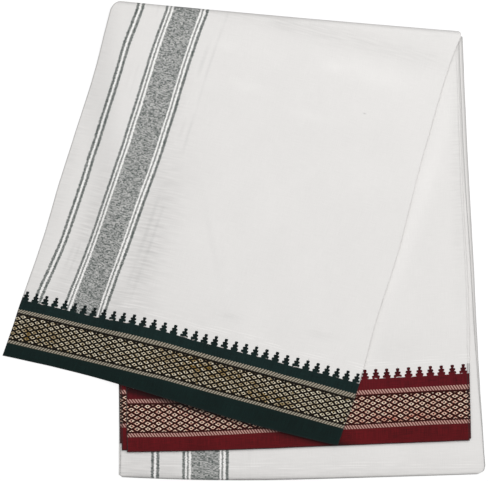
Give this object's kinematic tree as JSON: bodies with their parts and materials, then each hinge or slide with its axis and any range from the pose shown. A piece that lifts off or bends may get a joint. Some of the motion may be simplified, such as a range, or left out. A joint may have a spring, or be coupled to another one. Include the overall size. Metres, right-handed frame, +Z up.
{
  "type": "dhoti cloth, folded",
  "caption": "White cotton dhoti folded flat, with grey end stripes, a dark green border along a selvedge and a dark red border along the other.",
  "frame": {"origin": "on the surface that the folded cloth lies on, under the middle of its outline", "axes": "+Z up through the layers, +Y towards the top fold, +X towards the layered right side"},
  "size_m": [0.3554, 0.3501, 0.008],
  "materials": {
    "white_cotton": "plain-woven white cotton, matt, with heathered grey weft stripes near the cloth's end",
    "green_border": "dark green woven border with temple teeth, tan twill lines and pale gold diamonds",
    "red_border": "dark red woven border with temple teeth, tan twill lines and pale pink diamonds"
  },
  "bodies": {
    "root": {"folded_body": "white_cotton", "second_panel": "white_cotton", "red_border": "red_border", "top_panel": "white_cotton", "green_border": "green_border"}
  },
  "joints": []
}
